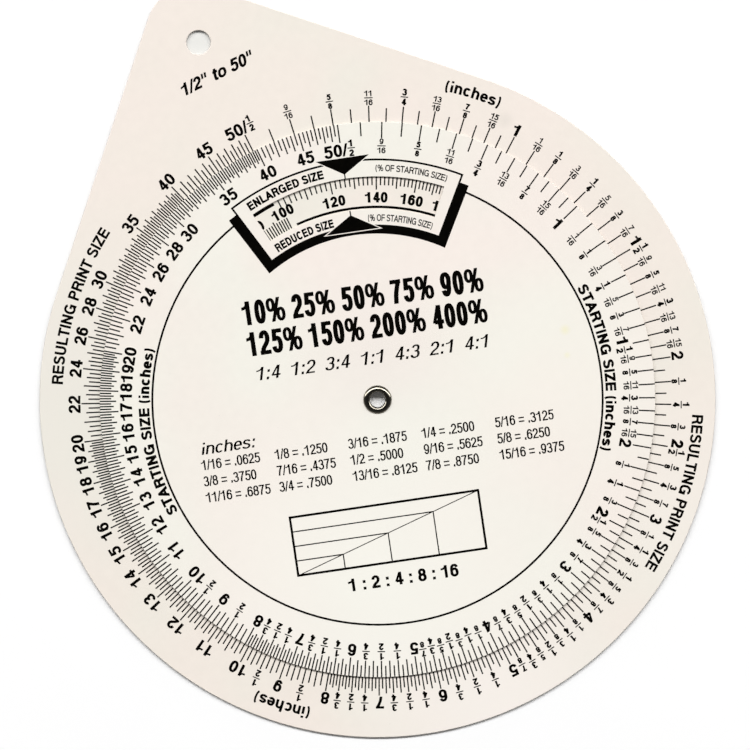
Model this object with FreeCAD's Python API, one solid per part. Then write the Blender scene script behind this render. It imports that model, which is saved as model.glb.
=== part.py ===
# Proportional scale wheel. A teardrop back card carries a logarithmic inch scale round its
# rim and a percentage ring near its middle. A smaller round dial with the same inch scale
# turns on its face, and a window in the dial shows the percentage. An eyelet set against a
# rear washer holds the two together and is the pivot.
#
# Frame: origin on the eyelet's axis at the card's rear face, +Z out of the printed face,
# +Y towards the hanging tab. Millimetres and degrees. Scale angles run clockwise from up.
import FreeCAD, Part
import math
import os

# Back card
DIAL_RADIUS = 73.025            # 5 3/4 inch round
CARD_BORDER = 15.875            # 5/8 inch of card shows round the dial, so the card is 7 inch
CARD_THICK = 0.50
TAB_HALF_ANGLE = 45.0           # the tab is a square corner, and its sides touch the round
TAB_CORNER_RADIUS = 12.7
HANG_HOLE_RADIUS = 3.175        # 1/4 inch punch
HANG_HOLE_INSET = 15.4          # from the tab's tip to the hole's axis

# Dial
DIAL_THICK = 0.50
DIAL_GAP = 0.06                 # running gap between card and dial
REST_PERCENT = 126.4            # the enlargement that the window's pointer stands at

# Window through the dial, centred on the dial's own up
WINDOW_INSET = 14.375           # from the dial's edge to the window's outer edge
WINDOW_DEPTH = 8.55
WINDOW_HALF_ANGLE = 25.7

# Eyelet and its washer
EYELET_BORE_RADIUS = 2.0
EYELET_WALL = 0.25
EYELET_CLEARANCE = 0.05         # radial, in the holes through dial, card and washer
EYELET_PLAY = 0.04              # axial, between flange and dial
FLANGE_WIDTH = 1.48             # beyond the barrel
FLANGE_HEIGHT = 0.65
FLANGE_RIM = 0.12               # height of the flange's straight outer edge
CREST_SET = 0.66                # from the bore to the flange's crest
SET_WIDTH = 1.05                # the rolled rear end, beyond the barrel
SET_HEIGHT = 0.35
SET_RIM = 0.10
WASHER_WIDTH = 1.70             # beyond the barrel
WASHER_THICK = 0.25

# Printing
INK_THICK = 0.02
SCALE_START = 0.5               # inches at up; two decades fill the full turn
DEGREES_PER_DECADE = 180.0
TICK_WIDTH = 0.35
TICK_LENGTHS = (4.85, 4.30, 3.65, 3.00)
OUTER_TICK_TUCK = 0.30          # the card's ticks start this far under the dial's edge
DIAL_TICK_INSET = 0.02          # the dial's ticks stop this far inside its edge
PERCENT_TICK_WIDTH = 0.35
PERCENT_TICK_TUCK = 0.30        # enlargement ticks start this far under the dial
ENLARGE_TICK_LENGTHS = (3.42, 3.00, 2.26)
REDUCE_TICK_INSET = 0.25        # from the window's inner edge to the reduction ticks
REDUCE_TICK_LENGTHS = (4.20, 3.75, 3.10)
OUTER_LINE_WIDTH = 0.85
OUTER_LINE_INSET = 0.02         # from the window's outer edge
INNER_LINE_WIDTH = 0.66
INNER_LINE_INSET = 0.25         # from the window's inner edge
OUTER_LINE_END = 98.3           # percent at which the reduction half's line stops
INNER_LINE_START = 102.5        # percent at which the enlargement half's line starts
RING_LINE_WIDTH = 0.52
RING_LINE_OFFSET = 0.55         # ring line's middle, outside the window's outer edge
FRAME_MARGIN_OUT = 4.73         # printed frame, beyond the window's outer edge
FRAME_MARGIN_IN = 4.10
FRAME_MARGIN_ANGLE = 3.50
FRAME_LINE_WIDTH = 0.50
SHADOW_WIDTH = 2.35             # black band along the frame's sides and foot
SHADOW_STOP = 2.3               # the side bands stop this far below the frame's top corners
POINTER_HALF_WIDTH = 7.05
POINTER_HEIGHT = 4.25
POINTER_PROUD = 0.75            # the upper pointer's base, outside the frame's top
LOWER_POINTER_SET = 1.40        # the lower pointer's base, inside the frame's foot
POINTER_KEYLINE = 0.24          # clear line kept round each pointer
NEEDLE_WIDTH = 0.32

# Stretches of an inch scale: first and last size, divisions to the inch, and the tick
# length (index in TICK_LENGTHS) for wholes, halves, quarters, eighths and so on.
STRETCHES = (
    (0.5, 1, 32, (0, 0, 1, 1, 1, 2)),
    (1, 2, 16, (0, 1, 1, 1, 1)),
    (2, 7, 16, (0, 1, 1, 1, 3)),
    (7, 8, 16, (0, 1, 1, 2, 3)),
    (8, 10, 8, (0, 1, 1, 2)),
    (10, 20, 8, (0, 1, 2, 3)),
    (20, 40, 4, (1, 2, 3)),
    (40, 50, 2, (1, 3)),
)
LABELLED_WHOLES = (20, 22, 24, 26, 28, 30, 35, 40, 45)

# Stretches of the percentage ring: first and last, step, then the steps that get a longer
# and the longest tick.
ENLARGE_STRETCHES = ((100, 200, 2, 10, 20), (200, 400, 5, 10, 50), (400, 1000, 10, 50, 100))
REDUCE_STRETCHES = ((10, 20, 0.5, 1, 5), (20, 101, 1, 5, 10))
HALVES_MEET = 100               # its marks are short, because its number stands there

# Sizes that follow
CARD_RADIUS = DIAL_RADIUS + CARD_BORDER
BARREL_RADIUS = EYELET_BORE_RADIUS + EYELET_WALL
PIVOT_HOLE_RADIUS = BARREL_RADIUS + EYELET_CLEARANCE
FLANGE_RADIUS = BARREL_RADIUS + FLANGE_WIDTH
DIAL_BOTTOM = CARD_THICK + DIAL_GAP
DIAL_TOP = DIAL_BOTTOM + DIAL_THICK
WINDOW_OUTER = DIAL_RADIUS - WINDOW_INSET
WINDOW_INNER = WINDOW_OUTER - WINDOW_DEPTH
FRAME_OUTER = WINDOW_OUTER + FRAME_MARGIN_OUT
FRAME_INNER = WINDOW_INNER - FRAME_MARGIN_IN
FRAME_HALF_ANGLE = WINDOW_HALF_ANGLE + FRAME_MARGIN_ANGLE

FULL_TURN = 360.0
UP = FreeCAD.Vector(0, 0, 1)
CENTRE = FreeCAD.Vector(0, 0, 0)


def polar(radius, angle, z=0.0):
    """Point at a radius and a clockwise angle from up."""
    turn = math.radians(angle)
    return FreeCAD.Vector(radius * math.sin(turn), radius * math.cos(turn), z)


def line(a, b):
    return Part.LineSegment(a, b).toShape()


def arc(radius, start, end):
    """Arc about the pivot between two clockwise angles."""
    middle = polar(radius, (start + end) / 2)
    return Part.Arc(polar(radius, start), middle, polar(radius, end)).toShape()


def plate(edges, bottom, thick):
    """Flat plate with the closed outline that the edges make."""
    face = Part.Face(Part.Wire(edges))
    face.translate(FreeCAD.Vector(0, 0, bottom))
    solid = face.extrude(FreeCAD.Vector(0, 0, thick))
    return solid


def polygon(points, bottom, thick):
    ends = points[1:] + points[:1]
    return plate([line(a, b) for a, b in zip(points, ends)], bottom, thick)


def sector(inner, outer, start, end, bottom, thick):
    """Piece of a flat ring between two clockwise angles."""
    edges = [
        arc(outer, start, end),
        line(polar(outer, end), polar(inner, end)),
        arc(inner, end, start),
        line(polar(inner, start), polar(outer, start)),
    ]
    return plate(edges, bottom, thick)


def disc(radius, bottom, thick):
    return Part.makeCylinder(radius, thick, FreeCAD.Vector(0, 0, bottom))


def tick(inner, outer, width, angle, bottom):
    """One printed stroke along a radius."""
    stroke = Part.makeBox(width, outer - inner, INK_THICK)
    stroke.translate(FreeCAD.Vector(-width / 2, inner, bottom))
    stroke.rotate(CENTRE, UP, -angle)
    return stroke


def scale_angle(inches):
    return DEGREES_PER_DECADE * math.log10(inches / SCALE_START)


def percent_angle(percent):
    return DEGREES_PER_DECADE * math.log10(percent / 100.0)


def scale_marks():
    """Clockwise angle and tick length of every mark of an inch scale."""
    for first, last, divisions, levels in STRETCHES:
        for count in range(round((last - first) * divisions)):
            inches = first + count / divisions
            fineness = 0
            while inches * 2 ** fineness % 1:
                fineness += 1
            level = 0 if inches in LABELLED_WHOLES else levels[fineness]
            yield scale_angle(inches), TICK_LENGTHS[level]


def percent_marks(stretches, lengths):
    """Clockwise angle and tick length of every mark of half a percentage ring."""
    longest, longer, short = lengths
    for first, last, step, long_step, longest_step in stretches:
        for count in range(round((last - first) / step)):
            percent = first + count * step
            length = longer if percent % long_step == 0 else short
            length = longest if percent % longest_step == 0 else length
            length = short if percent == HALVES_MEET else length
            yield percent_angle(percent), length


def on_dial(shape):
    """Turns a shape drawn with the dial's up at +Y to the dial's rest position."""
    shape.rotate(CENTRE, UP, -percent_angle(REST_PERCENT))
    return shape


def back_card():
    """Round card whose upper rim runs out along two tangents to a rounded square corner."""
    tangent = 90.0 - TAB_HALF_ANGLE
    corner_centre = (CARD_RADIUS - TAB_CORNER_RADIUS) / math.sin(math.radians(TAB_HALF_ANGLE))
    tip = corner_centre + TAB_CORNER_RADIUS
    corner = [FreeCAD.Vector(0, corner_centre, 0) + polar(TAB_CORNER_RADIUS, angle)
              for angle in (-tangent, 0, tangent)]
    outline = [
        arc(CARD_RADIUS, tangent, FULL_TURN - tangent),
        line(polar(CARD_RADIUS, -tangent), corner[0]),
        Part.Arc(*corner).toShape(),
        line(corner[2], polar(CARD_RADIUS, tangent)),
    ]
    card = plate(outline, 0, CARD_THICK)
    hang_hole = disc(HANG_HOLE_RADIUS, 0, CARD_THICK)
    hang_hole.translate(FreeCAD.Vector(0, tip - HANG_HOLE_INSET, 0))
    return card.cut(hang_hole).cut(disc(PIVOT_HOLE_RADIUS, 0, CARD_THICK))


def front_dial():
    """Round dial with the pivot hole and the window's ring-sector cut."""
    dial = disc(DIAL_RADIUS, DIAL_BOTTOM, DIAL_THICK)
    window = sector(WINDOW_INNER, WINDOW_OUTER, -WINDOW_HALF_ANGLE, WINDOW_HALF_ANGLE,
                    DIAL_BOTTOM, DIAL_THICK)
    return on_dial(dial.cut(disc(PIVOT_HOLE_RADIUS, DIAL_BOTTOM, DIAL_THICK)).cut(window))


def center_eyelet():
    """Tube with a domed front flange and a rolled rear end, as one turned profile."""
    front = DIAL_TOP + EYELET_PLAY
    crest = front + FLANGE_HEIGHT
    rear = -WASHER_THICK
    heel = rear - SET_HEIGHT
    crest_radius = EYELET_BORE_RADIUS + CREST_SET
    throat = CREST_SET
    heel_radius = EYELET_BORE_RADIUS + EYELET_WALL / 2 + SET_WIDTH / 2
    set_radius = BARREL_RADIUS + SET_WIDTH
    bend = math.sqrt(0.5)

    def at(radius, z):
        return FreeCAD.Vector(radius, 0, z)

    def curve(start, middle, end):
        return Part.Arc(at(*start), at(*middle), at(*end)).toShape()

    rim_top = front + FLANGE_RIM
    set_bottom = rear - SET_RIM
    mouth = heel + EYELET_WALL
    profile = [
        curve((EYELET_BORE_RADIUS, crest - throat),
              (crest_radius - throat * bend, crest - throat * (1 - bend)),
              (crest_radius, crest)),
        curve((crest_radius, crest),
              (crest_radius + (FLANGE_RADIUS - crest_radius) * bend,
               rim_top + (crest - rim_top) * bend),
              (FLANGE_RADIUS, rim_top)),
        line(at(FLANGE_RADIUS, rim_top), at(FLANGE_RADIUS, front)),
        line(at(FLANGE_RADIUS, front), at(BARREL_RADIUS, front)),
        line(at(BARREL_RADIUS, front), at(BARREL_RADIUS, rear)),
        line(at(BARREL_RADIUS, rear), at(set_radius, rear)),
        line(at(set_radius, rear), at(set_radius, set_bottom)),
        curve((set_radius, set_bottom),
              (heel_radius + (set_radius - heel_radius) * bend,
               set_bottom - (set_bottom - heel) * bend),
              (heel_radius, heel)),
        curve((heel_radius, heel),
              (heel_radius - (heel_radius - EYELET_BORE_RADIUS) * bend,
               mouth - (mouth - heel) * bend),
              (EYELET_BORE_RADIUS, mouth)),
        line(at(EYELET_BORE_RADIUS, mouth), at(EYELET_BORE_RADIUS, crest - throat)),
    ]
    return Part.Face(Part.Wire(profile)).revolve(CENTRE, UP, FULL_TURN)


def eyelet_washer():
    """Flat ring between the card's rear face and the eyelet's rolled end."""
    ring = disc(BARREL_RADIUS + WASHER_WIDTH, -WASHER_THICK, WASHER_THICK)
    return ring.cut(disc(PIVOT_HOLE_RADIUS, -WASHER_THICK, WASHER_THICK))


def outer_scale_ticks():
    """Marks of the card's inch scale, standing out from the dial's edge."""
    start = DIAL_RADIUS - OUTER_TICK_TUCK
    return [tick(start, DIAL_RADIUS + length, TICK_WIDTH, angle, CARD_THICK)
            for angle, length in scale_marks()]


def inner_scale_ticks():
    """Marks of the dial's inch scale, reaching in from its edge."""
    end = DIAL_RADIUS - DIAL_TICK_INSET
    return [on_dial(tick(DIAL_RADIUS - length, end, TICK_WIDTH, angle, DIAL_TOP))
            for angle, length in scale_marks()]


def enlargement_ticks():
    """Marks from 100 percent up, hanging from the window's outer edge."""
    marks = percent_marks(ENLARGE_STRETCHES, ENLARGE_TICK_LENGTHS)
    return [tick(WINDOW_OUTER - length, WINDOW_OUTER + PERCENT_TICK_TUCK,
                 PERCENT_TICK_WIDTH, angle, CARD_THICK) for angle, length in marks]


def reduction_ticks():
    """Marks from 100 percent down, standing on the window's inner edge."""
    foot = WINDOW_INNER + REDUCE_TICK_INSET
    marks = percent_marks(REDUCE_STRETCHES, REDUCE_TICK_LENGTHS)
    return [tick(foot, foot + length, PERCENT_TICK_WIDTH, angle, CARD_THICK)
            for angle, length in marks]


def percent_ring_lines():
    """Arc that closes each half of the percentage ring on the side away from its ticks."""
    outer = WINDOW_OUTER - OUTER_LINE_INSET
    inner = WINDOW_INNER + INNER_LINE_INSET
    return [
        sector(outer - OUTER_LINE_WIDTH, outer, percent_angle(10), percent_angle(OUTER_LINE_END),
               CARD_THICK, INK_THICK),
        sector(inner, inner + INNER_LINE_WIDTH, percent_angle(INNER_LINE_START),
               percent_angle(1000), CARD_THICK, INK_THICK),
    ]


def dial_ring_line():
    """Fine circle on the dial that stops at both sides of the window's printed frame."""
    middle = WINDOW_OUTER + RING_LINE_OFFSET
    half = RING_LINE_WIDTH / 2
    stop = FRAME_HALF_ANGLE + math.degrees(math.asin(SHADOW_WIDTH / middle))
    return on_dial(sector(middle - half, middle + half, stop, FULL_TURN - stop,
                          DIAL_TOP, INK_THICK))


def pointer_points(base, tip, end):
    """Triangle with its base and tip at two heights, drawn on by a needle to a third."""
    needle = NEEDLE_WIDTH / 2
    return [FreeCAD.Vector(x, y, 0) for x, y in (
        (-POINTER_HALF_WIDTH, base), (POINTER_HALF_WIDTH, base), (needle, tip),
        (needle, end), (-needle, end), (-needle, tip))]


UPPER_POINTER = (FRAME_OUTER + POINTER_PROUD,
                 FRAME_OUTER + POINTER_PROUD - POINTER_HEIGHT, WINDOW_OUTER)
LOWER_POINTER = (FRAME_INNER - LOWER_POINTER_SET,
                 FRAME_INNER - LOWER_POINTER_SET + POINTER_HEIGHT, WINDOW_INNER)


def window_pointers():
    """Two triangles that point at the window from above and below, with their needles."""
    return [on_dial(polygon(pointer_points(*heights), DIAL_TOP, INK_THICK))
            for heights in (UPPER_POINTER, LOWER_POINTER)]


def keyline_cutter(base, tip, _):
    """The pointer's triangle, grown by the clear line that is kept round it."""
    corners = [FreeCAD.Vector(-POINTER_HALF_WIDTH, base, 0),
               FreeCAD.Vector(POINTER_HALF_WIDTH, base, 0), FreeCAD.Vector(0, tip, 0)]
    outline = Part.makePolygon(corners + corners[:1])
    grown = outline.makeOffset2D(POINTER_KEYLINE, join=2)
    face = Part.Face(grown)
    face.translate(FreeCAD.Vector(0, 0, DIAL_TOP))
    return face.extrude(FreeCAD.Vector(0, 0, INK_THICK))


def window_frame_line():
    """Fine outline of the window's frame: its top and its two sides down to the foot."""
    inset = math.degrees(FRAME_LINE_WIDTH / FRAME_OUTER)
    whole = sector(FRAME_INNER, FRAME_OUTER, -FRAME_HALF_ANGLE, FRAME_HALF_ANGLE,
                   DIAL_TOP, INK_THICK)
    open_foot = sector(FRAME_INNER - FRAME_LINE_WIDTH, FRAME_OUTER - FRAME_LINE_WIDTH,
                       inset - FRAME_HALF_ANGLE, FRAME_HALF_ANGLE - inset,
                       DIAL_TOP, INK_THICK)
    return on_dial(whole.cut(open_foot).cut(keyline_cutter(*UPPER_POINTER)))


def window_frame_shadow():
    """Black band along the frame's foot and sides, as wide all along as a drop shadow."""
    foot = FRAME_INNER - SHADOW_WIDTH
    stop = FRAME_OUTER - SHADOW_STOP
    side = polar(1.0, FRAME_HALF_ANGLE)
    outward = polar(SHADOW_WIDTH, FRAME_HALF_ANGLE + 90)
    foot_corner = side * math.sqrt(foot ** 2 - SHADOW_WIDTH ** 2) + outward

    def mirrored(point):
        return FreeCAD.Vector(-point.x, point.y, point.z)

    right = [side * FRAME_INNER, side * stop, side * stop + outward, foot_corner]
    left = [mirrored(point) for point in right]
    edges = [line(a, b) for a, b in zip(right, right[1:])]
    edges.append(Part.Arc(right[3], FreeCAD.Vector(0, foot, 0), left[3]).toShape())
    edges += [line(a, b) for a, b in zip(left[::-1], left[-2::-1])]
    edges.append(arc(FRAME_INNER, -FRAME_HALF_ANGLE, FRAME_HALF_ANGLE))
    band = plate(edges, DIAL_TOP, INK_THICK)
    return on_dial(band.cut(keyline_cutter(*LOWER_POINTER)))


NODES = (
    back_card, front_dial, center_eyelet, eyelet_washer,
    outer_scale_ticks, inner_scale_ticks, enlargement_ticks, reduction_ticks,
    percent_ring_lines, dial_ring_line, window_pointers, window_frame_line,
    window_frame_shadow,
)

os.makedirs("parts", exist_ok=True)
for node in NODES:
    made = node()
    solids = made if isinstance(made, list) else made.Solids
    shape = solids[0] if len(solids) == 1 else Part.makeCompound(solids)
    shape.exportStep("parts/" + node.__name__ + ".step")
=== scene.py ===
"""Looks of the proportional scale wheel, built round its CAD frame.

Metres, in the part's own frame: the eyelet's axis is the Z axis, the card's rear face is
z = 0 and the hanging tab points along +Y. Angles on the scales run clockwise from up.
The dial's pieces are drawn with the dial's up along +Y and turned to its rest position.
"""
import math
from functools import lru_cache
from typing import NamedTuple

import bpy
from mathutils import Matrix, Vector
from mathutils.geometry import delaunay_2d_cdt, tessellate_polygon


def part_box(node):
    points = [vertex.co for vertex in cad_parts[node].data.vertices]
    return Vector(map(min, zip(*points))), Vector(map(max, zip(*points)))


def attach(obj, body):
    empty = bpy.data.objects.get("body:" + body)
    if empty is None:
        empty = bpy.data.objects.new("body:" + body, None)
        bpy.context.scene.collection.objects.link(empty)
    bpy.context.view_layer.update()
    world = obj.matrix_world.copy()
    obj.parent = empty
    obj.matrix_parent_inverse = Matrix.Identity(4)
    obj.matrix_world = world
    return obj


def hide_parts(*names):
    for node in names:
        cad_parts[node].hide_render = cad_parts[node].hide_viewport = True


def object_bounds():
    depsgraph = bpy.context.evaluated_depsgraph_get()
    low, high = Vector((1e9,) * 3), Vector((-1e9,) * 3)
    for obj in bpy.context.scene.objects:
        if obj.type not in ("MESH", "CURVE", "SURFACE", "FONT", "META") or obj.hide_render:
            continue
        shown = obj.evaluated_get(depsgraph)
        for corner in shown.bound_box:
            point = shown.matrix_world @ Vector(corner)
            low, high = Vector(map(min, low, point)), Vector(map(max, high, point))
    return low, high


MM = 0.001

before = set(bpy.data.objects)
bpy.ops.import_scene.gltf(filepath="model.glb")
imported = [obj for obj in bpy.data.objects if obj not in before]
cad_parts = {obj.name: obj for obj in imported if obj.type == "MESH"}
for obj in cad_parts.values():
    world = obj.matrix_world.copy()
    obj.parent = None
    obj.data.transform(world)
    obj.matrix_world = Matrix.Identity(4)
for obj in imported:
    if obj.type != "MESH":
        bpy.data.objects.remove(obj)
cad_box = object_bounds()

# Sizes, in millimetres and degrees
CARD_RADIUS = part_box("back_card")[1].x / MM
CARD_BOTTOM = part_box("back_card")[0].z / MM
CARD_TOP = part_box("back_card")[1].z / MM
DIAL_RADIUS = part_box("front_dial")[1].x / MM
DIAL_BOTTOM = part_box("front_dial")[0].z / MM
DIAL_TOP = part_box("front_dial")[1].z / MM
TAB_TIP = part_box("back_card")[1].y / MM
TAB_HALF_ANGLE = 45.0
TAB_CORNER_RADIUS = 12.7
HANG_HOLE_RADIUS = 3.175
HANG_HOLE_INSET = 15.4          # from the tab's tip to the hole's axis
HANG_HOLE_Y = TAB_TIP - HANG_HOLE_INSET
WINDOW_OUTER = 58.65
WINDOW_INNER = 50.10
WINDOW_HALF_ANGLE = 25.7
PIVOT_HOLE_RADIUS = 2.3
EYELET_BORE_RADIUS = 2.0
EYELET_WALL = 0.25
EYELET_PLAY = 0.04              # between the flange and the dial
CREST_SET = 0.66                # from the bore to the flange's crest
SET_WIDTH = 1.05                # the rolled rear end, beyond the barrel
WASHER_BREAK = 0.05             # the washer's broken edges
CARD_EDGE_ROUND = 0.20          # softening of a die-cut edge
DIAL_EDGE_ROUND = 0.08
INK_THICK = 0.02
SCALE_START = 0.5               # inches at up
DEGREES_PER_DECADE = 180.0
REST_PERCENT = 126.4            # the enlargement that the window's pointer stands at
REST_TURN = DEGREES_PER_DECADE * math.log10(REST_PERCENT / 100)

# Fineness of the meshes
EDGE_STEPS = 4                  # across the round of a cut edge
ROUND_STEP = 1.5                # degrees between the points of a sheet's round edge
CORNER_STEP = 6.0               # and of the tab's corner
HOLE_STEP = 5.0                 # and of a hole
TURNED_STEPS = 128              # round the eyelet and the washer
SHARP_ANGLE = 50.0              # degrees; a turned piece's sharper edges aren't shaded smooth
FLOOR_SIDES = 72

# The picture: where its middle lies on the card, how wide it is, and how far it is turned
PICTURE_CENTRE = (2.30, 6.06)
PICTURE_WIDTH = 197.27
PICTURE_TURN = math.radians(26.63)
PICTURE_UP = Vector((math.sin(PICTURE_TURN), math.cos(PICTURE_TURN)))
PICTURE_RIGHT = Vector((math.cos(PICTURE_TURN), -math.sin(PICTURE_TURN)))
SENSOR_WIDTH = 36.0
LENS = 200.0
CLIP_START, CLIP_END = 0.01, 50.0                       # metres

# Light and floor, in metres and watts
STRIP_DISTANCE = 8.0
STRIP_TILT = 41.0               # degrees from straight above
STRIP_LENGTH = 40.0
STRIP_HEIGHT = 2.2
STRIP_POWER = 2490.0
WALL_LEVELS = ((0.12, 1.0), (0.20, 0.12), (1.0, 0.04))  # by the sine of the height
FLOOR_RADIUS = 8.0
FLOOR_DROP = 0.22 * MM          # the floor lies this far under the card
DENT_RADIUS = 5.0 * MM          # and gives way under the eyelet
DENT_SLOPE = 1.1                # out to this share of the dent's radius
FLOOR_WHITE = 0.985
FLOOR_LIFT = 0.03               # share of full white that the floor shows near the card
LIFT_START, LIFT_END = 0.3, 1.5                         # it grows to 1 between these radii

# Weights of the lettering, as shares of its height: upright stems, then level bars
BOLD = (0.205, 0.165)
HEAVY = (0.235, 0.185)
CONDENSED = (0.270, 0.155)
MEDIUM = (0.150, 0.125)
UPPER_NOTE = (0.125, 0.110)
LOWER_NOTE = (0.130, 0.110)
SLENDER = (0.150, 0.080)
TABULAR = (0.155, 0.090)
INK_SPREAD = 0.06               # mm that printed strokes spread past their drawn outline
SQUARENESS = 0.88               # power that squares an oval a little; 1 leaves it an oval
ARC_STEP = 15.0                 # degrees between the points of a curved stroke
MITRE_LIMIT = 5.0               # longest mitre at a stroke's corner, in half widths
SAME_POINT = 1e-4               # neighbours on a stroke that are closer than this are one point
STRAIGHT = 1e-9                 # a bend smaller than this needs no wedge
MERGE_DIGITS = 5                # outline points alike to so many decimals are one point
INSIDE_ONLY = 1                 # delaunay_2d_cdt's output without what lies outside the faces
MEETING = 1e-6                  # and the distance at which it joins points
FRACTION_ROOM = 1.08            # a stacked fraction's width in a row, in lengths of its bar


# ---- glyphs

def arc(cx, cy, rx, ry, start, end):
    """Points of an oval arc, counter-clockwise from +x, slightly squared as in a grotesque."""
    steps = max(2, round(abs(end - start) / ARC_STEP))
    points = []
    for i in range(steps + 1):
        turn = math.radians(start + (end - start) * i / steps)
        c, s = math.cos(turn), math.sin(turn)
        points.append((cx + rx * math.copysign(abs(c) ** SQUARENESS, c),
                       cy + ry * math.copysign(abs(s) ** SQUARENESS, s)))
    return points


def ring(cx, cy, rx, ry):
    """Closed oval: its last point is left out, and None marks the stroke as closed."""
    return arc(cx, cy, rx, ry, 0, 360)[:-1] + [None]


def bend(a, b, c, d, steps=6):
    """Points of a cubic curve."""
    points = []
    for i in range(steps + 1):
        t = i / steps
        w = ((1 - t) ** 3, 3 * t * (1 - t) ** 2, 3 * t * t * (1 - t), t ** 3)
        points.append(tuple(sum(k * p[axis] for k, p in zip(w, (a, b, c, d)))
                            for axis in (0, 1)))
    return points


class Glyph(NamedTuple):
    """Advance and ink box as shares of the capital height, and strokes inside that box."""
    advance: float
    left: float
    right: float
    strokes: tuple
    bottom: float = 0.0
    top: float = 1.0
    thin: tuple = ()            # strokes drawn at THIN_STROKE of the full width


THIN_STROKE = 0.72
DIGIT = 0.783                   # every digit has the same advance
X_HEIGHT = 0.74
S_CURVE = (arc(.5, .745, .45, .255, 14, 180)
           + bend((.05, .745), (.05, .48), (1.0, .60), (1.0, .27))
           + arc(.5, .27, .5, .27, 0, -166))

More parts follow.
